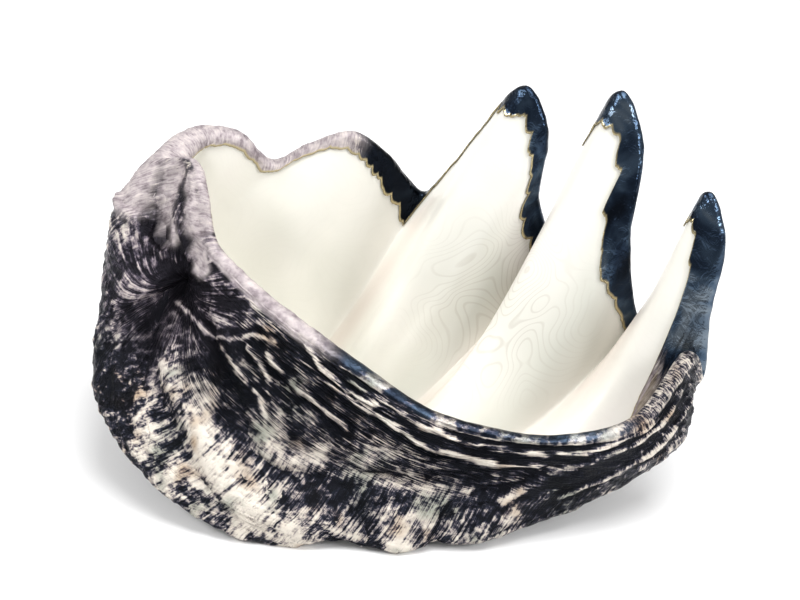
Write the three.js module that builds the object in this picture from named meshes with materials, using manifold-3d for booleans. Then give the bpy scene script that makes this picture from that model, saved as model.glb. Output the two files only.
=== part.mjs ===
// One valve of a giant clam, hollow side up, with a thin silver skin laid over its outside.
// Frame: +Z up, +X along the hinge edge away from the beak, +Y towards the tall fingers.
// Origin: bottom centre of the finished object. Millimetres.
import * as THREE from "three";
import { mergeVertices } from "three/addons/utils/BufferGeometryUtils.js";
import Module from "manifold-3d";

const wasm = await Module();
wasm.setup();

// ---------- driving dimensions ----------
const COLUMNS_PER_KEY = 2; // columns of facets from one key of the edge to the next
const OUTER_ROWS = 15; // rows of facets from the beak to the edge, outside
const LAP_ROWS = 2; // rows inside that the silver covers
const INNER_ROWS = 9; // rows inside from the silver's edge to the bottom of the hollow
const DISH_START = 0.66; // where the inside leaves the folds of the outside, on the way out of the beak
const DISH_WALL = 20; // thickness there
const SKIN_GAP = 0.3; // between shell and silver
const SKIN_THICKNESS = 1; // silver
const GROUND_CUT = 9; // how much of the lowest swelling is ground away
const CROWN_RISE = 0.28; // rounding of the edge, as a share of its thickness

const BEAK = new THREE.Vector3(-262, 100, 188);
const CENTRAL_LEAN = 0.55; // how far the wall's direction leans to the hollow's middle, 0 to 1
const HOLLOW_MIDDLE = new THREE.Vector3(-40, 180, 210); // in the mouth of the hollow
const DISH_POLE = new THREE.Vector3(-100, 45, 70); // lowest part of the hollow
const DISH_BEND = new THREE.Vector3(0, 0.32, 0.1); // bend of a column, for 1 mm of height over the level
const DISH_LEVEL = 100; // height at which a column runs straight to the pole

// Keys round the edge, from the beak by the far side to the near edge and back.
// edge: a point of the edge. g1, g2, g3: where the outside passes a quarter, half and three
// quarters of the way there from the beak. wall: thickness at the edge and at g3.
// lap: how far the silver runs down inside, as a share of the way from the edge to the beak.
const KEYS = [
  {
    edge: [-240, 106, 240], wall: [12, 20], lap: 0.3,
    g1: [-261, 98, 200], g2: [-258, 100, 214], g3: [-250, 104, 228],
  },
  {
    edge: [-262, 126, 290], wall: [10, 20], lap: 0.12,
    g1: [-272, 92, 202], g2: [-282, 98, 222], g3: [-278, 112, 256],
  },
  {
    edge: [-294, 152, 303], wall: [9, 20], lap: 0.1,
    g1: [-284, 84, 200], g2: [-300, 104, 228], g3: [-304, 128, 262],
  },
  {
    edge: [-345, 148, 290], wall: [34, 46], lap: 0.03,
    g1: [-305, 66, 182], g2: [-348, 80, 212], g3: [-366, 112, 248],
  },
  {
    edge: [-338, 205, 305], wall: [30, 40], lap: 0.03,
    g1: [-322, 50, 162], g2: [-368, 82, 182], g3: [-385, 165, 225],
  },
  { edge: [-300, 235, 300], wall: [26, 34], lap: 0.04 },
  {
    edge: [-268, 258, 262], wall: [18, 24], lap: 0.05,
    g1: [-328, 28, 145], g2: [-356, 60, 138], g3: [-345, 160, 140],
  },
  { edge: [-225, 283, 285], wall: [12, 18], lap: 0.06 },
  {
    edge: [-180, 300, 305], wall: [10, 24], lap: 0.1,
    g1: [-320, 2, 122], g2: [-328, 28, 98], g3: [-275, 165, 60],
  },
  { edge: [-154, 326, 275], wall: [10, 16], lap: 0.18 },
  {
    edge: [-122, 360, 216], wall: [12, 28], lap: 0.2,
    g1: [-300, -24, 102], g2: [-288, -5, 68], g3: [-215, 178, 0],
  },
  { edge: [-78, 368, 266], wall: [9, 13], lap: 0.04 },
  { edge: [-40, 366, 325], wall: [8, 12], lap: 0.04 },
  {
    edge: [12, 355, 390], wall: [7, 24], lap: 0.1,
    g1: [-285, -34, 95], g2: [-238, -16, 42], g3: [-146, 176, 20],
  },
  { edge: [40, 350, 350], wall: [7, 12], lap: 0.16 },
  { edge: [34, 350, 258], wall: [4, 7], lap: 0.12 },
  {
    edge: [54, 376, 192], wall: [4, 16], lap: 0.1,
    g1: [-262, -44, 84], g2: [-188, -34, 22], g3: [-66, 182, 4],
  },
  { edge: [88, 400, 274], wall: [4, 7], lap: 0.04 },
  { edge: [80, 406, 335], wall: [8, 12], lap: 0.05 },
  {
    edge: [108, 392, 394], wall: [7, 12], lap: 0.1,
    g1: [-245, -44, 80], g2: [-135, -46, 16], g3: [10, 205, 50],
  },
  { edge: [138, 382, 345], wall: [7, 12], lap: 0.16 },
  { edge: [150, 343, 245], wall: [4, 9], lap: 0.16 },
  {
    edge: [166, 358, 142], wall: [4, 9], lap: 0.12,
    g1: [-225, -46, 74], g2: [-80, -46, 8], g3: [78, 198, 22],
  },
  { edge: [200, 384, 238], wall: [4, 9], lap: 0.04 },
  {
    edge: [230, 362, 322], wall: [7, 12], lap: 0.1,
    g1: [-210, -40, 76], g2: [-35, -20, 14], g3: [162, 238, 60],
  },
  { edge: [254, 350, 280], wall: [7, 12], lap: 0.16 },
  { edge: [256, 326, 200], wall: [7, 12], lap: 0.16 },
  {
    edge: [264, 306, 138], wall: [9, 13], lap: 0.1,
    g1: [-195, -36, 79], g2: [40, 14, 10], g3: [222, 250, 48],
  },
  {
    edge: [263, 279, 178], wall: [12, 16], lap: 0.16,
    g1: [-185, -25, 90], g2: [90, 47, 20], g3: [262, 262, 75],
  },
  {
    edge: [244, 206, 127], wall: [14, 14], lap: 0.3,
    g1: [-180, -3, 112], g2: [72, 58, 60], g3: [228, 186, 78],
  },
  {
    edge: [182, 144, 118], wall: [12, 13], lap: 0.12,
    g1: [-188, 18, 130], g2: [16, 48, 84], g3: [136, 106, 96],
  },
  {
    edge: [120, 110, 123], wall: [12, 18], lap: 0.1,
    g1: [-198, 38, 142], g2: [-30, 50, 103], g3: [75, 86, 98],
  },
  {
    edge: [60, 87, 135], wall: [13, 18], lap: 0.1,
    g1: [-208, 54, 155], g2: [-85, 57, 128], g3: [0, 70, 122],
  },
  {
    edge: [-35, 81, 165], wall: [15, 18], lap: 0.12,
    g1: [-220, 68, 168], g2: [-140, 64, 158], g3: [-85, 70, 155],
  },
  {
    edge: [-114, 85, 190], wall: [15, 17], lap: 0.16,
    g1: [-232, 80, 178], g2: [-185, 76, 180], g3: [-150, 79, 182],
  },
  {
    edge: [-188, 95, 215], wall: [13, 15], lap: 0.25,
    g1: [-248, 92, 188], g2: [-228, 90, 198], g3: [-208, 91, 206],
  },
];
const COLUMNS = KEYS.length * COLUMNS_PER_KEY;

const smooth = (low, high, x) => THREE.MathUtils.smoothstep(x, low, high);

// A key between two ribs takes its missing inner stations from the ribs on each side of it.
function station(i, name) {
  const n = KEYS.length;
  let before = i;
  let after = i;
  while (!KEYS[before % n][name]) before -= 1;
  while (!KEYS[after % n][name]) after += 1;
  const a = new THREE.Vector3(...KEYS[before][name]);
  const b = new THREE.Vector3(...KEYS[after % n][name]);
  return before === after ? a : a.lerp(b, (i - before) / (after - before));
}

const ringCurves = ["g1", "g2", "g3", "edge"].map(
  (name) => new THREE.CatmullRomCurve3(KEYS.map((key, i) => station(i, name)), true, "centripetal"),
);

// A number given at the keys, run smoothly round the edge.
function aroundEdge(pick, u) {
  const n = KEYS.length;
  const i = Math.floor(u * n);
  const t = smooth(0, 1, u * n - i);
  return THREE.MathUtils.lerp(pick(KEYS[i % n]), pick(KEYS[(i + 1) % n]), t);
}

// The outside of the shell: u goes round the edge, v from the beak out to the edge.
function outside(u, v) {
  const stations = ringCurves.map((curve) => curve.getPoint(((u % 1) + 1) % 1));
  return new THREE.CatmullRomCurve3([BEAK.clone(), ...stations], false, "centripetal").getPoint(v);
}

// Towards the hollow: square to the outside, leant to the middle so that narrow folds stay open.
function inwards(u, v) {
  const du = 0.8 / COLUMNS;
  const dv = 0.03;
  const round = outside(u + du, v).sub(outside(u - du, v));
  const out = outside(u, Math.min(v + dv, 1)).sub(outside(u, v - dv));
  const square = round.cross(out).normalize();
  const central = HOLLOW_MIDDLE.clone().sub(outside(u, v)).normalize();
  return square.lerp(central, CENTRAL_LEAN).normalize();
}

function wall(u, v) {
  const [atEdge, atG3] = [0, 1].map((k) => aroundEdge((key) => key.wall[k], u));
  return v > 0.75
    ? THREE.MathUtils.mapLinear(v, 0.75, 1, atG3, atEdge)
    : THREE.MathUtils.mapLinear(v, DISH_START, 0.75, DISH_WALL, atG3);
}

const insideWall = (u, v) => outside(u, v).addScaledVector(inwards(u, v), wall(u, v));

// The inside follows the folds of the outside down to the dish, and closes there over its pole.
function insideColumn(u) {
  const rim = insideWall(u, DISH_START);
  const middle = rim.clone().lerp(DISH_POLE, 0.5);
  middle.addScaledVector(DISH_BEND, rim.z - DISH_LEVEL);
  return new THREE.CatmullRomCurve3([rim, middle, DISH_POLE.clone()], false, "centripetal");
}

function inside(u, v) {
  return v >= DISH_START ? insideWall(u, v) : insideColumn(u).getPoint(1 - v / DISH_START);
}

// Rows of points from the beak over the edge down to the bottom of the hollow.
function shellRows() {
  const us = Array.from({ length: COLUMNS }, (_, i) => i / COLUMNS);
  const rows = [];
  for (let j = 0; j <= OUTER_ROWS; j += 1) rows.push(us.map((u) => outside(u, (j / OUTER_ROWS) ** 0.85)));
  rows.push(us.map((u) => {
    const outwards = outside(u, 1).sub(outside(u, 0.94)).normalize();
    const t = wall(u, 1);
    return outside(u, 1).addScaledVector(inwards(u, 1), t / 2).addScaledVector(outwards, t * CROWN_RISE);
  }));
  for (let j = 0; j <= LAP_ROWS + INNER_ROWS; j += 1) {
    rows.push(us.map((u) => {
      const lap = aroundEdge((k) => k.lap, u);
      if (j <= LAP_ROWS) return inside(u, 1 - (lap * j) / LAP_ROWS);
      return inside(u, ((1 - lap) * (LAP_ROWS + INNER_ROWS + 1 - j)) / (INNER_ROWS + 1));
    }));
  }
  rows.push(us.map(() => DISH_POLE));
  return rows;
}

// A ball whose rings of points are moved onto the given rows, with its seam and poles closed.
function ballFromRows(rows) {
  const ball = new THREE.SphereGeometry(1, COLUMNS, rows.length - 1);
  const position = ball.getAttribute("position");
  rows.forEach((row, j) => {
    for (let i = 0; i <= COLUMNS; i += 1) {
      const p = row[i % COLUMNS];
      position.setXYZ(j * (COLUMNS + 1) + i, p.x, p.y, p.z);
    }
  });
  ball.deleteAttribute("normal");
  ball.deleteAttribute("uv");
  return mergeVertices(ball, 1e-3);
}

function solid(geometry) {
  const vertProperties = new Float32Array(geometry.getAttribute("position").array);
  const triVerts = new Uint32Array(geometry.index.array);
  return new wasm.Manifold(new wasm.Mesh({ numProp: 3, vertProperties, triVerts }));
}

function geometryOf(manifold) {
  const mesh = manifold.getMesh();
  const geometry = new THREE.BufferGeometry();
  geometry.setAttribute("position", new THREE.BufferAttribute(mesh.vertProperties, 3));
  geometry.setIndex(new THREE.BufferAttribute(mesh.triVerts, 1));
  return geometry;
}

const rows = shellRows();
const shell = ballFromRows(rows);

// For each point of a geometry, the step outwards that clears every face at the point by 1 mm.
function clearances(geometry) {
  const position = geometry.getAttribute("position");
  const corner = (k) => new THREE.Vector3().fromBufferAttribute(position, k);
  const around = Array.from({ length: position.count }, () => []);
  for (let f = 0; f < geometry.index.count; f += 3) {
    const ids = [0, 1, 2].map((k) => geometry.index.getX(f + k));
    const face = new THREE.Triangle(...ids.map(corner));
    const normal = face.getNormal(new THREE.Vector3());
    ids.forEach((id) => around[id].push(normal));
  }
  return around.map((normals) => {
    const step = normals.reduce((sum, n) => sum.add(n), new THREE.Vector3()).normalize();
    for (let pass = 0; pass < 60; pass += 1) {
      const worst = normals.reduce((low, n) => (n.dot(step) < low.dot(step) ? n : low));
      step.addScaledVector(worst, 0.08).normalize();
    }
    const least = Math.min(...normals.map((n) => n.dot(step)));
    return step.divideScalar(Math.max(least, 0.35));
  });
}

// The faces of the shell from the beak to the silver's edge inside, thickened into a closed skin.
function skinGeometryOver(geometry) {
  const steps = clearances(geometry);
  const count = geometry.getAttribute("position").count;
  const corner = (k, height) => {
    const at = new THREE.Vector3().fromBufferAttribute(geometry.getAttribute("position"), k);
    return at.addScaledVector(steps[k], height).toArray();
  };
  const points = [SKIN_GAP + SKIN_THICKNESS, SKIN_GAP].flatMap((height) =>
    Array.from({ length: count }, (_, k) => corner(k, height)),
  );
  const lastCovered = 1 + COLUMNS * (OUTER_ROWS + 1 + LAP_ROWS + 1);
  const faces = [];
  const sides = new Map();
  for (let f = 0; f < geometry.index.count; f += 3) {
    const ids = [0, 1, 2].map((k) => geometry.index.getX(f + k));
    if (ids.some((id) => id >= lastCovered)) continue;
    const [a, b, c] = ids;
    faces.push(a, b, c, count + c, count + b, count + a);
    [[a, b], [b, c], [c, a]].forEach(([from, to]) => {
      if (!sides.delete(`${to},${from}`)) sides.set(`${from},${to}`, [from, to]);
    });
  }
  sides.forEach(([from, to]) => faces.push(from, count + from, to, to, count + from, count + to));
  const skin = new THREE.BufferGeometry();
  skin.setAttribute("position", new THREE.Float32BufferAttribute(points.flat(), 3));
  skin.setIndex(faces);
  return mergeVertices(skin.toNonIndexed(), 1e-3);
}

// ---------- ground flat, moved to the origin, named ----------
const lowest = Math.min(...rows.flat().map((p) => p.z));
const ground = new THREE.BoxGeometry(900, 900, 100).translate(0, 200, lowest + GROUND_CUT - 50);
const groundSolid = solid(mergeVertices(ground.deleteAttribute("normal").deleteAttribute("uv"), 1e-3));

const valveGeometry = geometryOf(solid(shell).subtract(groundSolid));
const skinSolid = solid(skinGeometryOver(shell)).subtract(groundSolid);
const skinGeometry = geometryOf(skinSolid);

skinGeometry.computeBoundingBox();
const box = skinGeometry.boundingBox;
const middle = box.getCenter(new THREE.Vector3());
const toOrigin = new THREE.Vector3(-middle.x, -middle.y, -(lowest + GROUND_CUT));

const valveMaterial = new THREE.MeshStandardMaterial({ color: "#e9e6da", roughness: 0.5, metalness: 0 });
const silverMaterial = new THREE.MeshStandardMaterial({ color: "#8d8d92", roughness: 0.38, metalness: 0.9 });

const valve = new THREE.Mesh(valveGeometry.translate(...toOrigin.toArray()), valveMaterial);
valve.name = "shell_valve";
const skin = new THREE.Mesh(skinGeometry.translate(...toOrigin.toArray()), silverMaterial);
skin.name = "silver_cladding";

const clam = new THREE.Group();
clam.add(valve, skin);

export default clam;
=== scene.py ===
"""One valve of a giant clam, hollow side up, with its outside clad in darkened silver.

The shell is made the way it grew: rings of growth widen from the beak to the edge, and the silver
is laid over them as a thin skin that follows every ledge and laps over the edge of the hollow.
The table of keys is in millimetres before the shift that puts the shell on the ground.
"""
import math

import bpy
import numpy as np
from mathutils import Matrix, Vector, noise


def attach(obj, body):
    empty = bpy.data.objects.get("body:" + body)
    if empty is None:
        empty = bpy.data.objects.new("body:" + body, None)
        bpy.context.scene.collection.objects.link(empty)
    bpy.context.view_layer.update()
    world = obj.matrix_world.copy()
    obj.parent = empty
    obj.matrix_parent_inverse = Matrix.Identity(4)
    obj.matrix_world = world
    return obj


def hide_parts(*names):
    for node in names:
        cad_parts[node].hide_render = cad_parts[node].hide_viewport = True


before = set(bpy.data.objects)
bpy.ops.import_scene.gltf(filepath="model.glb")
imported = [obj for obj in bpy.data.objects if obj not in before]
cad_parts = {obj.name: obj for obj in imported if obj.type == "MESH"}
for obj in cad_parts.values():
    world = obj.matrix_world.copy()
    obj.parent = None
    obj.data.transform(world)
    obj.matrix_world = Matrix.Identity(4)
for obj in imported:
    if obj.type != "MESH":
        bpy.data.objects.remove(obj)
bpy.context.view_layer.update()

# ---------- the shell's own measures, mm ----------
SHIFT = np.array((58.96, -171.23, -2.40))  # from the table of keys to the finished place
BEAK = np.array((-262.0, 100, 188))
HOLLOW_MIDDLE = np.array((-40.0, 180, 210))
CENTRAL_LEAN = 0.55  # how far the wall's thickness leans from square towards the hollow's middle
CROWN_RISE = 0.28  # height of the rounded edge, as a share of the wall
DISH_POLE = np.array((-100.0, 45, 70))  # the point that the hollow's floor closes on
DISH_BEND = np.array((0, 0.32, 0.1))
DISH_LEVEL = 100
DISH_START = 0.66  # share of the way from the beak to the edge where the folds end in the dish
DISH_WALL = 20
INNER_WALL = 0.75  # share of the way where a key's second wall is measured
GROUND = 0.3  # gap under the lowest points

# Keys round the edge, from the beak by the far side to the near edge and back: a point of the
# edge, the outside a quarter, half and three quarters of the way there from the beak, and the wall
# at the edge and further in.
KEYS = (
    ((-240, 106, 240), (-261, 98, 200), (-258, 100, 214), (-250, 104, 228), (12, 20)),
    ((-262, 126, 290), (-272, 92, 202), (-282, 98, 222), (-278, 112, 256), (10, 20)),
    ((-294, 152, 303), (-284, 84, 200), (-300, 104, 228), (-304, 128, 262), (9, 20)),
    ((-345, 148, 290), (-305, 66, 182), (-348, 80, 212), (-366, 112, 248), (34, 46)),
    ((-338, 205, 305), (-322, 50, 162), (-368, 82, 182), (-385, 165, 225), (30, 40)),
    ((-300, 235, 300), None, None, None, (26, 34)),
    ((-268, 258, 262), (-328, 28, 145), (-356, 60, 138), (-345, 160, 140), (18, 24)),
    ((-225, 283, 285), None, None, None, (12, 18)),
    ((-180, 300, 305), (-320, 2, 122), (-328, 28, 98), (-275, 165, 60), (10, 24)),
    ((-154, 326, 275), None, None, None, (10, 16)),
    ((-122, 360, 216), (-300, -24, 102), (-288, -5, 68), (-215, 178, 0), (12, 28)),
    ((-78, 368, 266), None, None, None, (9, 13)),
    ((-40, 366, 325), None, None, None, (8, 12)),
    ((12, 355, 390), (-285, -34, 95), (-238, -16, 42), (-146, 176, 20), (7, 24)),
    ((40, 350, 350), None, None, None, (7, 12)),
    ((34, 350, 258), None, None, None, (4, 7)),
    ((54, 376, 192), (-262, -44, 84), (-188, -34, 22), (-66, 182, 4), (4, 16)),
    ((88, 400, 274), None, None, None, (4, 7)),
    ((80, 406, 335), None, None, None, (8, 12)),
    ((108, 392, 394), (-245, -44, 80), (-135, -46, 16), (10, 205, 50), (7, 12)),
    ((138, 382, 345), None, None, None, (7, 12)),
    ((150, 343, 245), None, None, None, (4, 9)),
    ((166, 358, 142), (-225, -46, 74), (-80, -46, 8), (78, 198, 22), (4, 9)),
    ((200, 384, 238), None, None, None, (4, 9)),
    ((230, 362, 322), (-210, -40, 76), (-35, -20, 14), (162, 238, 60), (7, 12)),
    ((254, 350, 280), None, None, None, (7, 12)),
    ((256, 326, 200), None, None, None, (7, 12)),
    ((264, 306, 138), (-195, -36, 79), (40, 14, 10), (222, 250, 48), (9, 13)),
    ((263, 279, 178), (-185, -25, 90), (90, 47, 20), (262, 262, 75), (12, 16)),
    ((244, 206, 127), (-180, -3, 112), (72, 58, 60), (228, 186, 78), (14, 14)),
    ((182, 144, 118), (-188, 18, 130), (16, 48, 84), (136, 106, 96), (12, 13)),
    ((120, 110, 123), (-198, 38, 142), (-30, 50, 103), (75, 86, 98), (12, 18)),
    ((60, 87, 135), (-208, 54, 155), (-85, 57, 128), (0, 70, 122), (13, 18)),
    ((-35, 81, 165), (-220, 68, 168), (-140, 64, 158), (-85, 70, 155), (15, 18)),
    ((-114, 85, 190), (-232, 80, 178), (-185, 76, 180), (-150, 79, 182), (15, 17)),
    ((-188, 95, 215), (-248, 92, 188), (-228, 90, 198), (-208, 91, 206), (13, 15)),
)
N = len(KEYS)
# How far down inside the silver laps, as a share of the way to the dish's pole, at places round the
# edge counted in keys.
LAPS = (
    (0, 0.030), (1, 0.020), (2, 0.020), (3, 0.015), (4, 0.010), (6, 0.012), (7, 0.010), (8, 0.012),
    (9, 0.022), (9.6, 0.024), (10, 0.035), (10.6, 0.012), (11, 0.004), (12.5, 0.004), (12.7, 0.014),
    (13.15, 0.014), (13.4, 0.012), (13.7, 0.013), (14, 0.019), (14.6, 0.018), (15, 0.020),
    (16, 0.020), (16.6, 0.003), (18.1, 0.004), (18.3, 0.024), (19.1, 0.021), (19.5, 0.015),
    (19.8, 0.028), (19.95, 0.022), (20.05, 0.048), (20.3, 0.040), (20.5, 0.048), (20.9, 0.042),
    (21.1, 0.036), (21.5, 0.026), (22, 0.014), (22.6, 0.003), (23.5, 0.004), (23.7, 0.022),
    (24.3, 0.030), (24.45, 0.052), (24.7, 0.060), (24.85, 0.085), (25, 0.130), (25.2, 0.180),
    (26, 0.230), (27, 0.360), (28, 0.500), (29, 0.600), (29.8, 0.560), (30.2, 0.300), (30.4, 0.012),
    (32, 0.010), (33, 0.020), (34, 0.030), (35, 0.040), (36, 0.030),
)
# Stretches of the edge, from key to key: where its silver is polished, black or dull, where the
# edge of the silver is most torn, and where the ivory is left bare over the edge.
# The polished stretches, the black lobe and the near shine are coloured as a painted reflection of dark
# surroundings over the patina.
POLISHED = ((11.6, 15.9, 0.3), (16.3, 27.4, 0.2))
BLACK_LOBE = (8.4, 10.9, 0.3)
NEAR_SHINE = (29.3, 33.6, 0.5)
DULL_LOBES = (0.4, 8.2, 0.4)
DULL_CORNER = (24.0, 29.6, 0.2)
DULL_NEAR = (33.5, 35.9, 0.4)
ROLLED_LIP = (2.4, 6.0, 0.5)
NEAR_SIDE = (29.2, 35.6, 0.8)
FINGERS = (10.5, 28.0, 0.5)
TORN = (8.5, 28, 0.5)
BARE = ((16.7, 18.15, 0.12), (22.7, 23.55, 0.12))


# ---------- growth surface ----------
def smoothstep(low, high, x):
    """0 below low, 1 above high, and a soft step between."""
    t = np.clip((np.asarray(x, float) - low) / (high - low), 0, 1)
    return t * t * (3 - 2 * t)


def filled(column):
    """The points of one ring; a key without its own takes them from the ribs on each side."""
    given = [i for i, key in enumerate(KEYS) if key[column] is not None]
    points = np.zeros((N, 3))
    for a, b in zip(given, given[1:] + [given[0] + N]):
        pa, pb = (np.array(KEYS[i % N][column], float) for i in (a, b))
        for i in range(a, b):
            points[i % N] = pa + (pb - pa) * (i - a) / (b - a)
    return points


RINGS = [filled(column) for column in (1, 2, 3, 0)]
WALL_EDGE, WALL_IN = (np.array([key[4][k] for key in KEYS], float) for k in (0, 1))


def centripetal(p0, p1, p2, p3, w):
    """A point w of the way from p1 to p2 on a centripetal Catmull-Rom curve."""
    d0, d1, d2 = (np.maximum(np.linalg.norm(b - a, axis=-1, keepdims=True), 1e-6) ** 0.5
                  for a, b in ((p0, p1), (p1, p2), (p2, p3)))
    t1 = ((p1 - p0) / d0 - (p2 - p0) / (d0 + d1) + (p2 - p1) / d1) * d1
    t2 = ((p2 - p1) / d1 - (p3 - p1) / (d1 + d2) + (p3 - p2) / d2) * d1
    w = w[..., None]
    return p1 + w * (t1 + w * (3 * (p2 - p1) - 2 * t1 - t2 + w * (2 * (p1 - p2) + t1 + t2)))


def on_ring(points, u):
    """The closed curve through a ring's points; u runs once round it from 0 to 1."""
    s = (u % 1) * N
    i = np.floor(s).astype(int)
    return centripetal(*(points[(i + k) % N] for k in (-1, 0, 1, 2)), s - i)


def on_column(stations, v):
    """stations: a list of arrays of points, one for each step of the column."""
    steps = np.stack([2 * stations[0] - stations[1], *stations, 2 * stations[-1] - stations[-2]])
    s = np.clip(v, 0, 1) * (len(stations) - 1)
    i = np.minimum(np.floor(s).astype(int), len(stations) - 2)
    n = np.arange(len(v))
    return centripetal(*(steps[i + k, n] for k in range(4)), s - i)


def lap(u):
    """How far down inside the silver laps, before its edge is torn."""
    return np.interp((u % 1) * N, *zip(*LAPS))


def around(values, u):
    """A value given at each key, eased from key to key."""
    s = (u % 1) * N
    i = np.floor(s).astype(int)
    t = smoothstep(0, 1, s - i)
    return values[i % N] * (1 - t) + values[(i + 1) % N] * t


def unit(a):
    return a / np.maximum(np.linalg.norm(a, axis=-1, keepdims=True), 1e-9)


def outside(u, v):
    """The growth surface: v runs from 0 at the beak to 1 at the edge."""
    beak = np.broadcast_to(BEAK, (len(u), 3))
    return on_column([beak] + [on_ring(points, u) for points in RINGS], v)


def inwards(u, v):
    """The way the wall's thickness is measured, from the outside into the hollow."""
    du, dv = 0.4 / N, 0.03
    round_ = outside(u + du, v) - outside(u - du, v)
    out = outside(u, np.minimum(v + dv, 1)) - outside(u, v - dv)
    square = unit(np.cross(round_, out))
    central = unit(HOLLOW_MIDDLE - outside(u, v))
    return unit(square + (central - square) * CENTRAL_LEAN)


def wall(u, v):
    """Thickness of the wall, mm."""
    edge, inner = around(WALL_EDGE, u), around(WALL_IN, u)
    high = inner + (edge - inner) * (v - INNER_WALL) / (1 - INNER_WALL)
    low = DISH_WALL + (inner - DISH_WALL) * (v - DISH_START) / (INNER_WALL - DISH_START)
    return np.where(v > INNER_WALL, high, low)


def inside(u, v):
    """The hollow's surface: it follows the folds down to the dish and closes over its pole."""
    deep = v < DISH_START
    w = np.where(deep, DISH_START, v)
    folded = outside(u, w) + inwards(u, w) * wall(u, w)[:, None]
    if not deep.any():
        return folded
    pole = np.broadcast_to(DISH_POLE, folded.shape)
    middle = (folded + pole) / 2 + DISH_BEND * (folded[:, 2:] - DISH_LEVEL)
    dish = on_column([folded, middle, pole], 1 - v / DISH_START)
    return np.where(deep[:, None], dish, folded)


def path(u, s):
    """The whole skin: s from 0 at the beak to 1 at the edge, to 2 over it, and on down inside."""
    out = outside(u, np.minimum(s, 1))
    t = wall(u, np.ones_like(u))[:, None]
    edge = outside(u, np.ones_like(u))
    away = unit(edge - outside(u, np.full_like(u, 0.94)))
    turn = np.clip(s - 1, 0, 1)[:, None] * math.pi
    crown = edge + inwards(u, np.ones_like(u)) * t * (1 - np.cos(turn)) / 2 \
        + away * t * CROWN_RISE * np.sin(turn)
    down = inside(u, np.clip(3 - s, 0, 1))
    s = s[:, None]
    return np.where(s <= 1, out, np.where(s <= 2, crown, down))


def normals(u, s):
    """Unit vectors square to the skin, out of the wall."""
    du, ds = 0.0015, 0.004
    round_ = path(u + du, s) - path(u - du, s)
    out = path(u, s + ds) - path(u, np.maximum(s - ds, 1e-4))
    return -unit(np.cross(round_, out))


# ---------- relief of the outside ----------
# Folds and grooves that run out from the beak: height, half width, and the points they pass, all in
# mm and in the finished place. They narrow towards the beak.
FOLDS = (
    (2.6, 4, ((-199, -73, 199), (-222, -85, 200), (-251, -103, 186), (-268, -119, 162),
              (-276, -138, 143), (-270, -156, 122))),
    (4.0, 5, ((-199, -73, 197), (-223, -88, 192), (-242, -107, 171), (-245, -130, 154),
              (-233, -163, 131), (-209, -196, 102), (-185, -217, 76), (-140, -230, 52))),
    (5.0, 15, ((-203, -72, 191), (-227, -93, 182), (-237, -113, 163), (-218, -155, 134),
               (-192, -186, 103), (-154, -211, 74), (-112, -223, 49))),
    (-7.0, 11, ((-200, -73, 190), (-219, -89, 176), (-211, -126, 151), (-188, -161, 120),
                (-152, -184, 102), (-109, -203, 75), (-81, -216, 46), (-60, -210, 15))),
    (8.0, 24, ((-189, -79, 188), (-197, -100, 164), (-187, -133, 140), (-147, -168, 117),
               (-106, -187, 92), (-76, -203, 62), (-39, -206, 40), (7, -200, 16))),
    (-7.0, 9, ((-168, -88, 181), (-134, -117, 151), (-72, -158, 108), (-54, -179, 82),
               (-37, -180, 74), (-9, -175, 65), (43, -152, 65), (106, -115, 74), (168, -83, 78),
               (211, -55, 84), (252, -23, 84))),
    (6.0, 15, ((-150, -94, 177), (-110, -113, 151), (-66, -133, 121), (-44, -157, 99),
               (-18, -161, 86), (24, -148, 79), (79, -118, 86))),
    (-6.0, 8, ((68, -168, 10), (78, -155, 35), (93, -141, 46), (118, -120, 59))),
    (-6.0, 8, ((150, -123, 10), (151, -114, 35), (172, -89, 54), (211, -55, 72))),
    (5.0, 18, ((18, -177, 50), (33, -181, 28), (20, -185, 0))),
    (5.0, 18, ((128, -117, 58), (111, -138, 34), (112, -149, 10))),
    (5.0, 18, ((228, -42, 62), (199, -73, 41), (186, -91, 20))),
)
# Thin ridges along the near side, where growth paused.
RIDGES = (
    ((-200, -93, 169), (-170, -105, 163), (-138, -112, 157), (-117, -108, 159), (-92, -100, 168),
     (-64, -98, 166)),
    ((-126, -115, 152), (-101, -126, 136), (-79, -130, 127), (-59, -136, 116), (-43, -147, 105)),
    ((-94, -107, 157), (-75, -112, 144), (-58, -117, 131)),
    ((-71, -106, 155), (-46, -110, 141), (-26, -112, 130), (3, -113, 119), (34, -115, 104)),
    ((-32, -91, 174), (-3, -97, 156), (23, -98, 144), (64, -95, 136)),
    ((6, -101, 143), (66, -98, 126), (122, -88, 101), (174, -74, 95), (227, -43, 92)),
    ((26, -93, 155), (109, -88, 125), (160, -71, 112), (208, -52, 107), (266, -8, 106),
     (307, 44, 122)),
    ((197, -70, 52), (244, -30, 85), (289, 15, 101), (313, 57, 117), (320, 84, 147)),
    ((244, -26, 49), (289, 19, 72), (317, 64, 94), (326, 100, 127)),
)
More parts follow.
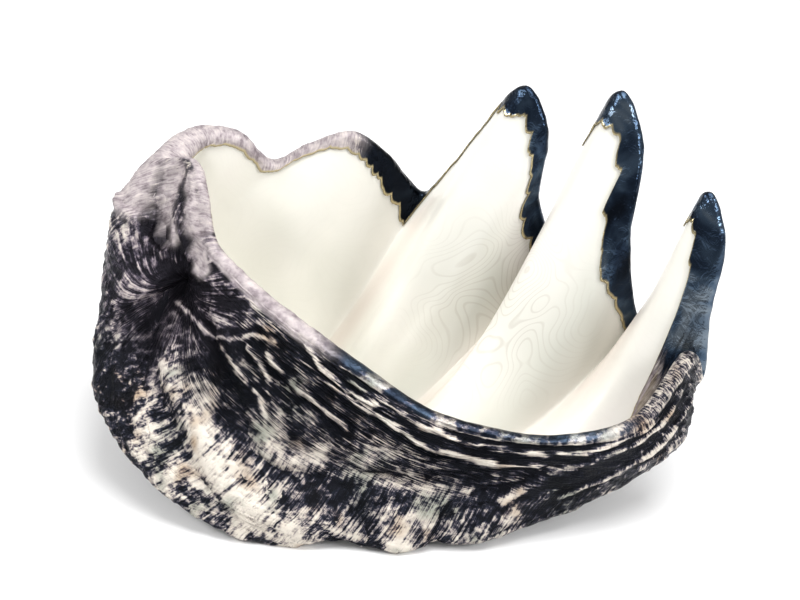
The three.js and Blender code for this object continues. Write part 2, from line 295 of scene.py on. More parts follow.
# Folds and grooves round the beak, where the lip rolls over a hollow strip: these keep their width.
BEAK_FOLDS = (
    (7.0, 5, ((-309, -55, 250), (-305, -62, 244), (-277, -68, 236), (-255, -75, 220),
              (-234, -77, 212))),
    (-13.0, 9, ((-262, -58, 246), (-254, -64, 233), (-246, -70, 222))),
    (-6.0, 9, ((-244, -24, 290), (-252, -33, 277), (-252, -45, 257), (-244, -60, 238),
               (-232, -68, 224))),
    (5.0, 6, ((-234, -24, 297), (-214, -38, 292), (-202, -46, 282), (-193, -52, 266),
              (-184, -62, 243))),
    (4.0, 13, ((-290, 5, 292), (-290, -22, 276), (-286, -46, 254))),
    (6.0, 11, ((-202, -54, 262), (-196, -58, 250))),
    (6.5, 7, ((-214, -63, 240), (-207, -67, 230), (-200, -71, 219))),
    (-5.0, 4, ((-222, -62, 243), (-214, -70, 226), (-205, -74, 212))),
    (-4.0, 3, ((-264, -32, 282), (-267, -46, 262), (-262, -60, 246))),
    (4.0, 7, ((-190, -72, 200), (-160, -80, 200), (-133, -80, 205))),
)
# Where the silver is worn back to cream (+) or stays black (-), and in the first entry painted shade in
# the crevice at the beak: amount, radius, place in mm.
WEAR_AND_SHADE = (
    # The first entry is painted shade that darkens the crevice at the beak.
    (-0.6, 20, (-203, -72, 186)), (-0.9, 11, (-256, -66, 233)), (-0.9, 8, (-208, -67, 231)),
    (-0.5, 6, (-266, -45, 264)),
    (0.08, 42, (-147, -168, 117)), (0.16, 42, (-106, -187, 92)), (0.18, 42, (-76, -203, 62)),
    (0.16, 46, (-39, -206, 40)), (0.14, 46, (7, -200, 16)), (-0.30, 36, (-72, -150, 118)),
    (-0.25, 34, (-112, -126, 143)), (-0.25, 30, (33, -181, 40)), (0.25, 22, (-44, -157, 99)),
    (-0.22, 34, (-222, -190, 110)), (-0.12, 40, (-205, -120, 160)), (0.15, 40, (118, -128, 40)),
    (-0.10, 60, (250, -10, 90)), (-0.12, 50, (60, -100, 140)),
)
# Where the silver is dull and pale lavender: radius, place in mm.
PALE = (
    (26, (-288, -5, 288)), (26, (-292, -28, 270)), (24, (-290, -50, 252)), (16, (-250, -26, 285)),
    (14, (-250, -42, 265)), (13, (-246, -55, 246)), (12, (-226, -66, 232)), (14, (-215, -38, 288)),
    (14, (-200, -48, 270)), (16, (-195, -57, 252)), (12, (-186, -66, 226)), (12, (-180, -72, 210)),
)
NARROWED = 110  # folds have their full width this far from the beak
SKIN = 1.6  # silver over the shell
THINNEST = 0.7
RIDGE, RIDGE_HALF = 3.2, 2.9
FLANK, FLANK_HALF, FLANK_OFF = 0.8, 3.5, 7.5  # the groove on each side of a ridge
LEDGE, CRUMB, LUMP, WRINKLE = 2.4, 1.5, 2.0, 0.7  # heights
CRUMB_SIZE, LUMP_SIZE, WRINKLE_SIZE = 8, 30, 16
NEAR_LEDGES, FAR_LEDGES = (8.5, 85), (15, 34)  # from ledge to ledge, and how long each one runs
BEAK_REACH = (50, 135)  # the beak's own finish fades out between these distances from it
CREVICE_SHADE = 22  # radius of the painted shade that darkens the crevice the ribs leave at the beak


def pale(at):
    """1 where the silver is dull and pale, 0 elsewhere."""
    place = at + SHIFT
    return np.clip(sum(1.3 * np.exp(-(np.linalg.norm(place - middle, axis=1) / radius) ** 4)
                       for radius, middle in PALE), 0, 1)


def wear_and_shade(at):
    """How much of the black is worn back (+) or kept (-); at the beak's crevice it is painted shade."""
    place = at + SHIFT
    return sum(amount * np.exp(-(np.linalg.norm(place - middle, axis=1) / radius) ** 2)
               for amount, radius, middle in WEAR_AND_SHADE)


def off_line(points, line):
    """Distance from each point to a line of points."""
    best = np.full(len(points), 1e9)
    for a, b in zip(line, line[1:]):
        a, b = np.array(a, float), np.array(b, float)
        t = np.clip(((points - a) @ (b - a)) / ((b - a) @ (b - a)), 0, 1)
        best = np.minimum(best, np.linalg.norm(points - a - t[:, None] * (b - a), axis=1))
    return best


def folds(s, at):
    """Height of the folds over the plain growth surface; the edge and the beak keep none."""
    place = at + SHIFT
    from_beak = np.linalg.norm(at - BEAK, axis=1)
    narrow = np.clip(from_beak / NARROWED, 0.12, 1)
    total = np.zeros(len(at))
    for height, half, line in FOLDS:
        total += height * narrow * np.exp(-((off_line(place, line) / (half * narrow)) ** 2))
    for height, half, line in BEAK_FOLDS:
        total += height * np.exp(-((off_line(place, line) / half) ** 2))
    return total * (1 - smoothstep(0.9, 1.0, s))


def ridges(at):
    """The thin ridges, and the grooves beside them, each from 0 to 1."""
    wander = at + SHIFT + 3.0 * np.stack([field(at + k, 28, 2) for k in (0, 90, 180)], axis=1)
    away = np.min([off_line(wander, line) for line in RIDGES], axis=0)
    return np.exp(-(away / RIDGE_HALF) ** 2), np.exp(-((away - FLANK_OFF) / FLANK_HALF) ** 2)


def field(points, scale, octaves):
    """Fractal noise at the points, one swell every `scale` mm."""
    return np.array([noise.fractal(Vector(p), 0.9, 2.0, octaves, noise_basis="PERLIN_ORIGINAL")
                     for p in (points / scale).tolist()])


def ridged(points, octaves):
    """Noise with sharp crests, about 1 on average."""
    return np.array([noise.ridged_multi_fractal(Vector(p), 1.0, 2.1, octaves, 1.0, 2.0)
                     for p in points.tolist()])


def turns(count):
    """That many places round the edge, evenly by key."""
    return np.arange(count) / count


# Lengths along the growth from the beak, on a grid of columns and steps.
COLUMNS, STEPS = 432, 120
LADDER = [outside(turns(COLUMNS), np.full(COLUMNS, v)) for v in np.linspace(0, 1, STEPS + 1)]
ARC = np.cumsum([np.zeros(COLUMNS)] + [
    np.linalg.norm(b - a, axis=1) for a, b in zip(LADDER, LADDER[1:])], axis=0)


def growth(u, s):
    """Millimetres along the growth from the beak to a point of the outside, and on to the edge."""
    columns = (u % 1) * COLUMNS
    i = np.floor(columns).astype(int)
    across = columns - i
    steps = np.clip(s, 0, 1) * STEPS
    k = np.minimum(np.floor(steps).astype(int), STEPS - 1)
    up = steps - k
    here, there = i % COLUMNS, (i + 1) % COLUMNS
    low = ARC[k, here] * (1 - across) + ARC[k, there] * across
    high = ARC[k + 1, here] * (1 - across) + ARC[k + 1, there] * across
    arc = low * (1 - up) + high * up
    whole = ARC[-1, here] * (1 - across) + ARC[-1, there] * across
    return arc, whole - arc


def key_band(u, low, high, soft):
    """1 between two keys of the edge, softly 0 beyond them."""
    k = (u % 1) * N
    return smoothstep(low - soft, low + soft, k) * (1 - smoothstep(high - soft, high + soft, k))


def circle(u, radius):
    """The way round the edge as a circle, so that noise on it closes without a seam."""
    return np.stack([np.cos(2 * math.pi * u) * radius, np.sin(2 * math.pi * u) * radius], axis=1)


def zones(u, s):
    """Where the silver is polished and where it is dull, each from 0 to 1."""
    over = smoothstep(0.985, 1.05, s)
    past_tips = 0.04 * np.maximum((u % 1) * N - 26.2, 0)
    corner = smoothstep(2.125, 2.15, s + past_tips) * (s > 1.5)
    tips = np.maximum.reduce([key_band(u, *band) for band in POLISHED])
    polished = over * np.maximum.reduce([
        tips * (1 - corner), key_band(u, *BLACK_LOBE), 0.6 * key_band(u, *NEAR_SHINE)])
    dull_lap = over * np.maximum(key_band(u, *DULL_LOBES), corner * key_band(u, *DULL_CORNER))
    near = key_band(u, *DULL_NEAR) * smoothstep(0.88, 0.96, s)
    lip = key_band(u, *ROLLED_LIP) * smoothstep(0.8, 0.9, s)
    return polished, np.maximum.reduce([dull_lap, near, lip])


def ledges(distance, at, spacing, run):
    """Broken steps of growth `spacing` mm apart: each rises towards the edge and drops."""
    step = distance / spacing
    cell, x = np.floor(step), step % 1
    apart = cell[:, None] * (1.15, 1.96, 2.85)  # so that one ledge breaks in other places than the next
    strong = np.clip(0.5 + field(at / run + apart, 1, 2), 0.05, 1.4)
    return np.minimum((1 - x) ** 1.5, x * 8) * strong


def relief(u, s, at):
    """Heights in mm over the shell, and the masks that the silver is coloured by."""
    arc, to_edge = growth(u, s)
    near = key_band(u, *NEAR_SIDE)
    outer = 1 - smoothstep(0.97, 1.03, s)
    polished, dull = zones(u, s)
    patch = wear_and_shade(at)
    thin, flank = ridges(at)
    soft = pale(at) * np.clip(1 + 1.6 * np.minimum(patch, 0), 0, 1)
    dull = np.maximum(dull, soft * (s < 2))
    sway = 12 * field(at, 100, 2) + 4 * field(at, 30, 2)
    by_edge = ledges(to_edge + sway, at, *NEAR_LEDGES)
    by_beak = ledges(sway * 1.4 - arc, at, *FAR_LEDGES)
    ledge = by_beak + (by_edge - by_beak) * near
    ribs = ridged(np.concatenate([circle(u, 26), (to_edge / 120)[:, None]], axis=1), 2) - 1
    crumb = field(at, CRUMB_SIZE, 4)
    lumps = field(at, LUMP_SIZE, 3)
    from_beak = np.linalg.norm(at - BEAK, axis=1)
    beak_side = 1 - smoothstep(*BEAK_REACH, from_beak)
    fold = folds(s, at)

    rough = outer * (1 - 0.6 * beak_side) * (1 - 0.5 * soft)
    height = SKIN + rough * (LEDGE * ledge + CRUMB * crumb + LUMP * lumps * (1 - 0.5 * near))
    height += outer * (RIDGE * thin - FLANK * flank)
    height += outer * ribs * (0.4 + 1.2 * beak_side) * smoothstep(0.03, 0.15, s)
    height += (1 - outer) * dull * (0.7 * crumb + 0.8 * lumps)
    height += polished * WRINKLE * field(at, WRINKLE_SIZE, 2)
    height = fold + np.maximum(height, THINNEST)

    cream = 0.354 + patch + 0.22 * (ledge + crumb) + 0.3 * lumps + 0.03 * np.clip(fold, -6, 7)
    cream += beak_side * (0.12 * ribs - 0.05) + outer * (0.55 * thin - 0.3 * flank)
    # Painted shade: the crevice at the beak is darkened.
    cream -= 0.35 * np.exp(-(from_beak / CREVICE_SHADE) ** 2)
    # Over the edge the cream value is fixed; on the polished parts it sets how light the painted
    # reflection is, darkest on the black lobe.
    black = key_band(u, *BLACK_LOBE) * (s > 1)
    lapped = 0.55 - 0.45 * black - 0.05 * key_band(u, *NEAR_SHINE)
    cream = np.clip(np.where(s > 0.98, lapped, cream), 0, 1)
    masks = {"cream": cream, "polish": polished, "dull": dull, "lamellar": near, "beak_side": beak_side}
    return height, arc, to_edge, masks


# ---------- meshes ----------
TEAR = 8.0  # mm from the notches of the lap's edge to its scallops, or so
BARE_END = 1.3  # where the silver ends on the crown of the bare stretches
BEAD, BEAD_HALF = 0.7, 2.2  # height and half width of the raised edge, mm
HIDDEN = 0.25  # height of the silver's inner face over the shell's own skin, mm
HIDDEN_GAP, SHELL_GAP = 0.9, 2.0  # the same faces over the ground
UNDER_SILVER, UNDER_FOLDS = 0.8, 2.2  # how far the shell lies below its skin, and more where folded
GRAIN_WAY = (0.31, 0.53, 0.77)


def stitch(faces, a, b):
    """Faces between two rings of vertex numbers; one may have twice as many as the other."""
    na, nb = len(a), len(b)
    if na == nb:
        for i in range(na):
            faces.append((a[i], a[(i + 1) % na], b[(i + 1) % nb], b[i]))
    elif na * 2 == nb:
        for i in range(na):
            j, k = (2 * i + 1) % nb, (2 * i + 2) % nb
            faces.append((a[i], b[j], b[2 * i]))
            faces.append((a[i], a[(i + 1) % na], b[j]))
            faces.append((a[(i + 1) % na], b[k], b[j]))
    elif na == nb * 2:
        for i in range(nb):
            j, k = (2 * i + 1) % na, (2 * i + 2) % na
            faces.append((a[2 * i], a[j], b[i]))
            faces.append((a[j], b[(i + 1) % nb], b[i]))
            faces.append((a[j], a[k], b[(i + 1) % nb]))


def grown_mesh(name, rings, marks, start, end):
    """A closed mesh from rings of points, with a pole at each end; marks are values at the points."""
    numbers, count = [], 0
    for ring in rings:
        numbers.append(list(range(count, count + len(ring))))
        count += len(ring)
    faces = []
    for a, b in zip(numbers, numbers[1:]):
        stitch(faces, a, b)
    first, last = numbers[0], numbers[-1]
    faces += [(count, first[(i + 1) % len(first)], first[i]) for i in range(len(first))]
    faces += [(count + 1, last[i], last[(i + 1) % len(last)]) for i in range(len(last))]
    points = np.concatenate([*rings, start[None], end[None]])
    mesh = bpy.data.meshes.new(name)
    mesh.from_pydata(((points + SHIFT) / 1000).tolist(), [], faces)
    mesh.flip_normals()
    for mark, parts in marks.items():
        poles = np.zeros((2, *parts[0].shape[1:]))
        values = np.concatenate([*parts, poles])
        kind, field_name = ("FLOAT", "value") if values.ndim == 1 else ("FLOAT_VECTOR", "vector")
        layer = mesh.attributes.new(mark, kind, "POINT")
        layer.data.foreach_set(field_name, values.ravel())
    mesh.shade_smooth()
    piece = bpy.data.objects.new(name, mesh)
    bpy.context.scene.collection.objects.link(piece)
    return piece


def lap_end(u):
    """Where the silver ends inside: a torn line of scallops with sharp notches between them."""
    places = circle(u, 60).tolist()
    swell = lambda size, seed: np.array([
        noise.noise(Vector((x / size, y / size, seed))) for x, y in places])
    scallops = 1.7 * np.sqrt(np.abs(swell(3.4, 3.1))) + 0.5 * np.sqrt(np.abs(swell(1.3, 8.3)))
    low, high = (inside(u, np.full_like(u, v)) for v in (0.8, 0.9))
    column = np.maximum(10 * np.linalg.norm(high - low, axis=1), 60)
    torn = TEAR * (scallops + 0.6 * swell(7.0, 1.7) - 1) / column
    end = 2 + np.clip(lap(u) + torn * (0.4 + 0.6 * key_band(u, *TORN)), 0.002, 0.65)
    bare = np.maximum.reduce([key_band(u, *band) for band in BARE])
    return end + (BARE_END - end) * bare


def silver():
    """The skin of silver: its outside, its lap and the inner face that lies on the shell."""
    rings, marks = [], {name: [] for name in (
        "cream", "polish", "dull", "lamellar", "beak_side", "edge_line", "edge_grain", "beak_grain",
        "fan")}

    def add(u, s, edge=0.0, under=None):
        """One ring; edge is how far it belongs to the raised edge, under its height if hidden."""
        at, up = path(u, s), normals(u, s)
        height, arc, to_edge, masks = relief(u, s, at)
        if under is not None:
            height = under + folds(s, at)
        point = at + up * (height + edge * BEAD)[:, None]
        floor_gap = GROUND if under is None else HIDDEN_GAP
        point[:, 2] = np.maximum(point[:, 2], floor_gap - SHIFT[2])
        rings.append(point)
        masks["edge_line"] = np.full_like(u, edge)
        masks["edge_grain"] = at / 26 + (to_edge / 3.4)[:, None] * GRAIN_WAY
        masks["beak_grain"] = at / 9 + (arc / 4.2)[:, None] * GRAIN_WAY
        masks["fan"] = np.concatenate([circle(u, 60), (to_edge / 45)[:, None]], axis=1)
        for name, values in masks.items():
            marks[name].append(values)

    near_beak = [(252, v) for v in np.linspace(0, 0.3, 46)[1:]]
    middle = [(504, v) for v in np.linspace(0.3, 0.97, 113)[1:]]
    near_edge = [(1008, v) for v in (0.978, 0.986, 0.993)]
    for count, v in near_beak + middle + near_edge:
        add(turns(count), np.full(count, v))

    u = turns(1008)
    end = lap_end(u)
    over = np.minimum(end, 2.0)
    down = end - over
    step = np.where(end < 2, 0.302, 0.002)
    reach = np.linalg.norm(path(u, end) - path(u, end - step), axis=1)
    bead = np.minimum(BEAD_HALF / np.maximum(reach, 0.3) * step, 0.4 * (end - 1))
    lapped = down > 2.2 * bead
    for share in np.linspace(0, 1, 8):
        add(u, 1 + (over - 1 - 2.2 * bead * ~lapped) * share)
    for share in np.linspace(0, 1, 9)[1:]:
        add(u, np.where(lapped, over + (down - 2 * bead) * share, end + bead * (0.2 * share - 2.2)))
    add(u, end - bead, edge=1.0)
    add(u, end - 0.15 * bead, edge=0.9)
    add(u, end, edge=0.6, under=HIDDEN)

    for count, share in ((504, 0.5), (252, 0.0)):
        u = turns(count)
        end = lap_end(u)
        s = np.where(end > 2, 2 + (end - 2) * share, end - 0.1 * (1 - share))
        add(u, s, under=HIDDEN)
    for count, s in ((252, 1.12), (252, 1.0), (252, 0.9), *((126, k / 10) for k in range(8, 0, -1))):
        add(turns(count), np.full(count, s), under=HIDDEN)
    return grown_mesh("silver_cladding_chased", rings, marks, BEAK + (-1.5, -1.5, 0), BEAK)


def valve():
    """The shell: its outside under the silver, over the crown, and the hollow down to the pole."""
    rings, marks = [], {"fold_shade": [], "banks": [], "contour": []}

    def add(point, at, fold_shade, banks):
        rings.append(point)
        marks["fold_shade"].append(fold_shade)
        marks["banks"].append(banks)
        marks["contour"].append(at / 120)

    near_beak = [(216, v) for v in np.linspace(0.06, 0.24, 6)]
    middle = [(432, v) for v in np.linspace(0.27, 0.97, 36)]
    crown = [(432, v) for v in (1.0, 1.15, 1.3, 1.5, 1.7, 1.85, 2.0)]
    for count, v in near_beak + middle + crown:
        u, s, plain = turns(count), np.full(count, v), np.zeros(count)
        at = path(u, s)
        thin_wall = key_band(u, *FINGERS) * (v > 0.75)
        sunk = UNDER_SILVER + UNDER_FOLDS * (1 - thin_wall) * (v < 0.95)
        point = at + normals(u, s) * (folds(s, at) - sunk)[:, None]
        point[:, 2] = np.maximum(point[:, 2], SHELL_GAP - SHIFT[2])
        add(point, at, plain, plain)

    u = turns(432)
    key, covered = u * N, lap(u)
    banks = sum(np.exp(-((key - k) / 0.8) ** 2) for k in (10.9, 16.9, 22.8))
    # Painted shade: greyer in the troughs between the fingers.
    fold_shades = sum(np.exp(-((key - k) / 1.1) ** 2) for k in (15.4, 21.3, 26.6))
    for k in range(1, 120):
        v = np.where(k < 9, 1 - covered * k / 9, (1 - covered) * (120 - k) / 112)
        at = inside(u, v)
        reach = smoothstep(0.45, 0.7, v) * (1 - smoothstep(0.93, 0.99, v))
        # Painted shade too: the dish is greyed more the deeper it lies.
        deep = 1 - smoothstep(0.2, 0.7, v)
        add(at, at, np.clip(0.55 * fold_shades * reach + 0.25 * deep, 0, 1), 0.5 * banks * reach)
    return grown_mesh("shell_valve_grown", rings, marks, BEAK + (2.0, 2.0, 0), DISH_POLE)


# ---------- materials ----------
def linear(code):
    """An sRGB hex value as linear red, green, blue and 1."""
    parts = [int(code[i:i + 2], 16) / 255 for i in (1, 3, 5)]
    return (*((c / 12.92 if c <= 0.04045 else ((c + 0.055) / 1.055) ** 2.4) for c in parts), 1)


def add_node(tree, kind, out, settings=None, stops=(), **inputs):
    """Adds a node and gives back its output called `out`.

    stops are a colour ramp's places and colours. An input takes a value or another node's output;
    spaces in its name are written _, and _0, _1 and so on mean the first input, the second and so on.
    """
    node = tree.nodes.new(kind)
    for name, value in (settings or {}).items():
        setattr(node, name, value)
    for index, (place, colour) in enumerate(stops):
        elements = node.color_ramp.elements
        element = elements[index] if index < 2 else elements.new(place)
        element.position = place
        element.color = linear(colour)
    for name, value in inputs.items():
        label = name.replace("_", " ")
        named = [socket for socket in node.inputs if socket.enabled and socket.name == label]
        socket = named[0] if named else node.inputs[int(label)]
        if isinstance(value, bpy.types.NodeSocket):
            tree.links.new(value, socket)
        else:
            socket.default_value = value
    return next(socket for socket in node.outputs if socket.enabled and socket.name == out)


def new_material(name):
    material = bpy.data.materials.new(name)
    material.use_nodes = True
    tree = material.node_tree
    return material, tree, tree.nodes["Principled BSDF"]


NUMBER = {"data_type": "FLOAT"}
COLOUR = {"data_type": "RGBA"}
STAIN = {"data_type": "RGBA", "blend_type": "MULTIPLY"}
METRE = 1000  # mm; a pattern on Object coordinates has METRE / size swells in a metre


def grown_ivory():
    # The inner layer of a giant clam shell, aragonite that grew dense and fine and was polished by the
    # animal: a warm white with a broad soft gloss, like unglazed porcelain. Down in the folds and in the
    # deep dish it is painted greyer and greener as painted shade, and it is rosy on the folds' banks.
    material, tree, shader = new_material("polished_shell_ivory")
    fold_shade, banks = (add_node(tree, "ShaderNodeAttribute", "Fac", {"attribute_name": name})
                     for name in ("fold_shade", "banks"))
    place = add_node(tree, "ShaderNodeTexCoord", "Object")
    clouds = add_node(tree, "ShaderNodeTexNoise", "Fac", Vector=place, Scale=METRE / 143, Detail=3.0)
    white = add_node(tree, "ShaderNodeValToRGB", "Color", Fac=clouds, stops=(
        (0.3, "#e6e5dc"), (0.5, "#eeece4"), (0.68, "#f3efe9")))
    # Painted shade: the white is greyed and greened down in the troughs and the dish.
    shaded = add_node(tree, "ShaderNodeMix", "Result", COLOUR, Factor=fold_shade, A=white,
                      B=linear("#b9bbaf"))
    rosy = add_node(tree, "ShaderNodeMix", "Result", COLOUR, Factor=banks, A=shaded,
                    B=linear("#dccbc0"))
    # Growth lines 5 to 10 mm apart, wandering, each a hair of tan. They show where the folds run out
    # into the dish and are almost gone elsewhere.
    contour = add_node(tree, "ShaderNodeAttribute", "Vector", {"attribute_name": "contour"})
    levels = add_node(tree, "ShaderNodeTexNoise", "Fac", Vector=contour, Scale=1.0, Detail=1.5,
                      Roughness=0.4, Distortion=0.3)
    phase = add_node(tree, "ShaderNodeMath", "Value", {"operation": "MULTIPLY"},
                             _0=levels, _1=230.0)
    wave = add_node(tree, "ShaderNodeMath", "Value", {"operation": "SINE"}, _0=phase)
    hair = add_node(tree, "ShaderNodeMapRange", "Result", Value=wave, From_Min=0.6, From_Max=1.0,
                    To_Min=0.0, To_Max=0.3)
    off_dish = add_node(tree, "ShaderNodeVectorMath", "Value", {"operation": "DISTANCE"},
                        _0=place, _1=(0.085, 0.12, 0.15))
    here = add_node(tree, "ShaderNodeMapRange", "Result", Value=off_dish, From_Min=0.05,
                    From_Max=0.12, To_Min=0.8, To_Max=0.05)
    faint = add_node(tree, "ShaderNodeMath", "Value", {"operation": "MULTIPLY"}, _0=hair, _1=here)
    lined = add_node(tree, "ShaderNodeMix", "Result", COLOUR, Factor=faint, A=rosy,
                     B=linear("#a09686"))
    tree.links.new(lined, shader.inputs["Base Color"])
    shader.inputs["Roughness"].default_value = 0.36
    shader.inputs["IOR"].default_value = 1.53
    return material


def darkened_silver():
    # Thin sheet silver, formed over the shell, chased, blackened and rubbed back. The eye gets three
    # finishes: chased, near black in the hollows and cream on the crests; polished, a smooth metal with
    # sharp lights, painted dark steel blue as a painted reflection of dark surroundings over the black
    # patina; and dull, a lavender grey with hardly any gloss. The lap ends in a thin raised line of old
    # gold.
    material, tree, shader = new_material("darkened_silver_chased")
    cream, polish, dull, line, lamellar, beak_side = (
        add_node(tree, "ShaderNodeAttribute", "Fac", {"attribute_name": name})
        for name in ("cream", "polish", "dull", "edge_line", "lamellar", "beak_side"))
    edge_grain, beak_grain, fan = (
        add_node(tree, "ShaderNodeAttribute", "Vector", {"attribute_name": name})
        for name in ("edge_grain", "beak_grain", "fan"))
    place = add_node(tree, "ShaderNodeTexCoord", "Object")

    # Chasing: lines 3 mm apart along the growth on the near side, strokes 4 mm apart elsewhere and
    # hairs that fan out of the beak, all broken up by crumbs of 8 mm and less.
    lines = add_node(tree, "ShaderNodeTexNoise", "Fac", Vector=edge_grain, Scale=1.0, Detail=4.0,
                     Roughness=0.6)
    strokes = add_node(tree, "ShaderNodeTexNoise", "Fac", Vector=beak_grain, Scale=1.0, Detail=4.0,
                       Roughness=0.65)
    hairs = add_node(tree, "ShaderNodeTexNoise", "Fac", Vector=fan, Scale=1.0, Detail=4.0,
                     Roughness=0.6)
    crumbs = add_node(tree, "ShaderNodeTexNoise", "Fac", Vector=place, Scale=METRE / 8.333, Detail=5.0,
                      Roughness=0.68, Distortion=0.5)
    crumbly_strokes = add_node(tree, "ShaderNodeMix", "Result", NUMBER, Factor=0.45, A=strokes,
                               B=crumbs)
    crumbly_lines = add_node(tree, "ShaderNodeMix", "Result", NUMBER, Factor=0.3, A=lines, B=crumbs)
    crumbly_hairs = add_node(tree, "ShaderNodeMix", "Result", NUMBER, Factor=0.65, A=crumbs, B=hairs)
    side = add_node(tree, "ShaderNodeMix", "Result", NUMBER, Factor=lamellar, A=crumbly_strokes,
                    B=crumbly_lines)
    fine = add_node(tree, "ShaderNodeMix", "Result", NUMBER, Factor=beak_side, A=side, B=crumbly_hairs)
    spread = add_node(tree, "ShaderNodeMath", "Value", {"operation": "MULTIPLY_ADD"},
                      _0=fine, _1=3.2, _2=-1.6)
    worn = add_node(tree, "ShaderNodeMath", "Value", {"operation": "ADD"}, _0=spread, _1=cream)

    # Colour of the chased finish: black to cream, with breaths of green and tan 45 mm across, and
    # more lavender by the beak.
    tone = add_node(tree, "ShaderNodeValToRGB", "Color", Fac=worn, stops=(
        (0.26, "#101219"), (0.42, "#262935"), (0.5, "#4d4a55"), (0.57, "#8a8284"),
        (0.66, "#bfb5ab"), (0.9, "#e6ded2")))
    breaths = add_node(tree, "ShaderNodeTexNoise", "Fac", Vector=place, Scale=METRE / 45.45, Detail=2.0,
                       Roughness=0.5)
    stain = add_node(tree, "ShaderNodeValToRGB", "Color", Fac=breaths, stops=(
        (0.32, "#a9b7b2"), (0.46, "#ffffff"), (0.56, "#ffffff"), (0.7, "#cbb398")))
    stained = add_node(tree, "ShaderNodeMix", "Result", STAIN, Factor=0.8, A=tone, B=stain)
    beak_tone = add_node(tree, "ShaderNodeValToRGB", "Color", Fac=worn, stops=(
        (0.26, "#1a181f"), (0.42, "#4b4550"), (0.58, "#8b8087"), (0.8, "#cdc2be")))
    chased = add_node(tree, "ShaderNodeMix", "Result", COLOUR, Factor=beak_side, A=stained, B=beak_tone)

    # Colour of the polished finish, a painted reflection of dark surroundings over the patina: steel
    # blue in waves 60 mm long, black on the second lobe.
    waves = add_node(tree, "ShaderNodeTexNoise", "Fac", Vector=place, Scale=METRE / 58.82, Detail=3.0,
                     Roughness=0.55, Distortion=0.6)
    steel = add_node(tree, "ShaderNodeValToRGB", "Color", Fac=waves, stops=(
        (0.34, "#161d28"), (0.48, "#2c3b4f"), (0.58, "#52667c"), (0.7, "#8b98a4")))
    painted_reflection = add_node(tree, "ShaderNodeMix", "Result", COLOUR, Factor=cream,
                             A=linear("#0b0d12"), B=steel)
    chased_or_polished = add_node(tree, "ShaderNodeMix", "Result", COLOUR, Factor=polish, A=chased,
                                  B=painted_reflection)

    # Colour of the dull finish: lavender grey, darker in marks 13 mm long and less.
    blots = add_node(tree, "ShaderNodeTexNoise", "Fac", Vector=place, Scale=METRE / 13.333, Detail=4.0,
                     Roughness=0.6)
    drawn = add_node(tree, "ShaderNodeMix", "Result", NUMBER, Factor=lamellar, A=strokes, B=lines)
    soft_marks = add_node(tree, "ShaderNodeMix", "Result", NUMBER, Factor=0.5, A=blots, B=drawn)
    dull_tone = add_node(tree, "ShaderNodeValToRGB", "Color", Fac=soft_marks, stops=(
        (0.3, "#54494c"), (0.42, "#8f8488"), (0.52, "#b7adae"), (0.66, "#d6ccc7")))
    all_silver = add_node(tree, "ShaderNodeMix", "Result", COLOUR, Factor=dull, A=chased_or_polished,
                          B=dull_tone)
    edged = add_node(tree, "ShaderNodeMix", "Result", COLOUR, Factor=line, A=all_silver,
                     B=linear("#b3a682"))
    tree.links.new(edged, shader.inputs["Base Color"])

    shiny = add_node(tree, "ShaderNodeMix", "Result", NUMBER, Factor=polish, A=0.34, B=0.2)
    rough = add_node(tree, "ShaderNodeMix", "Result", NUMBER, Factor=dull, A=shiny, B=0.6)
    tree.links.new(rough, shader.inputs["Roughness"])
    rubbed = add_node(tree, "ShaderNodeMapRange", "Result", Value=worn, From_Min=0.5, From_Max=0.7,
                      To_Min=0.85, To_Max=0.35)
    bright = add_node(tree, "ShaderNodeMix", "Result", NUMBER, Factor=polish, A=rubbed, B=0.95)
    metal = add_node(tree, "ShaderNodeMix", "Result", NUMBER, Factor=dull, A=bright, B=0.35)
    tree.links.new(metal, shader.inputs["Metallic"])

    # Relief too fine for the mesh: the chasing itself, crinkles 17 mm long on the polished parts.
    crinkle = add_node(tree, "ShaderNodeTexNoise", "Fac", Vector=place, Scale=METRE / 16.667, Detail=3.0,
                       Roughness=0.6, Distortion=1.2)
    smooth = add_node(tree, "ShaderNodeMix", "Result", NUMBER, Factor=polish, A=worn, B=crinkle)
    height = add_node(tree, "ShaderNodeMix", "Result", NUMBER, Factor=dull, A=smooth, B=soft_marks)
    bump = add_node(tree, "ShaderNodeBump", "Normal", Strength=0.9, Distance=0.0022, Height=height)
    tree.links.new(bump, shader.inputs["Normal"])
    return material


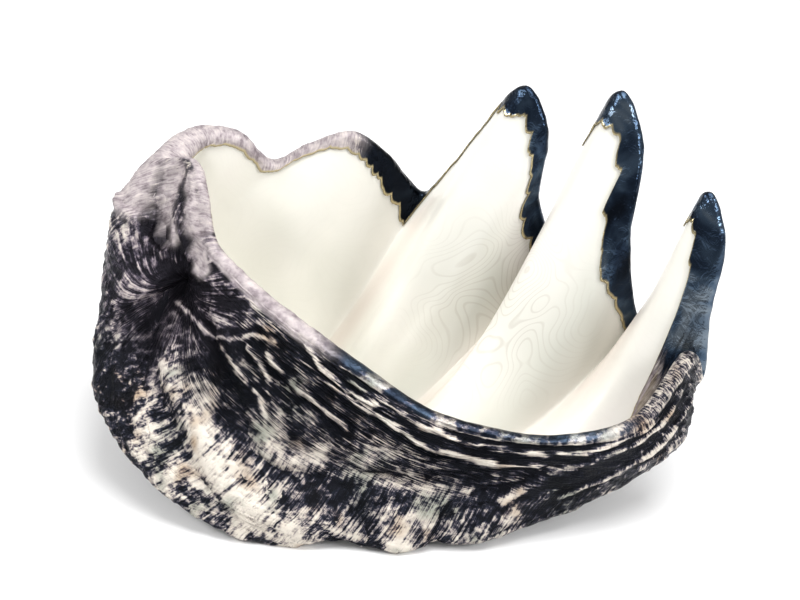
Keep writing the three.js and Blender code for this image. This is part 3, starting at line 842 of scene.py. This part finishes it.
def pale_floor():
    # Seamless studio paper: matt, just off white.
    material, tree, shader = new_material("studio_floor_paper")
    shader.inputs["Base Color"].default_value = linear("#f7f7f7")
    shader.inputs["Roughness"].default_value = 0.9
    return material


# ---------- pieces ----------
shell = valve()
shell.data.materials.append(grown_ivory())
cladding = silver()
cladding.data.materials.append(darkened_silver())
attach(shell, "root")
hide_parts("shell_valve")
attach(cladding, "root")
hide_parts("silver_cladding")

# ---------- studio ----------
bpy.ops.object.select_all(action="DESELECT")
bpy.ops.mesh.primitive_plane_add(size=24, location=(0, 0, 0))
floor = bpy.context.object
floor.name = "studio_floor"
floor.data.materials.append(pale_floor())

TARGET = Vector((-0.00104, 0.04377, 0.1676))
DISTANCE = 1.955
AZIMUTH = math.radians(33)
ELEVATION = math.radians(33)
back = Vector((math.sin(AZIMUTH) * math.cos(ELEVATION), -math.cos(AZIMUTH) * math.cos(ELEVATION),
               math.sin(ELEVATION)))
lens = bpy.data.cameras.new("studio_camera")
lens.lens = 80
lens.sensor_width = 36
camera = bpy.data.objects.new("studio_camera", lens)
bpy.context.scene.collection.objects.link(camera)
camera.location = TARGET + back * DISTANCE
camera.rotation_euler = back.to_track_quat("Z", "Y").to_euler()
bpy.context.scene.camera = camera


def soft_light(name, at, size, watts):
    """A round white lamp that faces the middle of the shell."""
    light = bpy.data.lights.new(name, "AREA")
    light.shape = "DISK"
    light.size = size
    light.energy = watts
    lamp = bpy.data.objects.new(name, light)
    bpy.context.scene.collection.objects.link(lamp)
    lamp.location = at
    lamp.rotation_euler = (Vector(at) - Vector((0, 0, 0.15))).to_track_quat("Z", "Y").to_euler()


soft_light("key_light", (-1.9, -1.7, 2.3), 1.1, 52)
soft_light("top_light", (0.5, 0.5, 3.2), 2.4, 90)
soft_light("right_light", (2.2, 0.2, 1.3), 0.8, 28)
world = bpy.data.worlds.new("studio")
bpy.context.scene.world = world
world.use_nodes = True
sky = world.node_tree.nodes["Background"]
sky.inputs["Color"].default_value = linear("#ffffff")
sky.inputs["Strength"].default_value = 0.52
bpy.context.scene.view_settings.view_transform = "Standard"
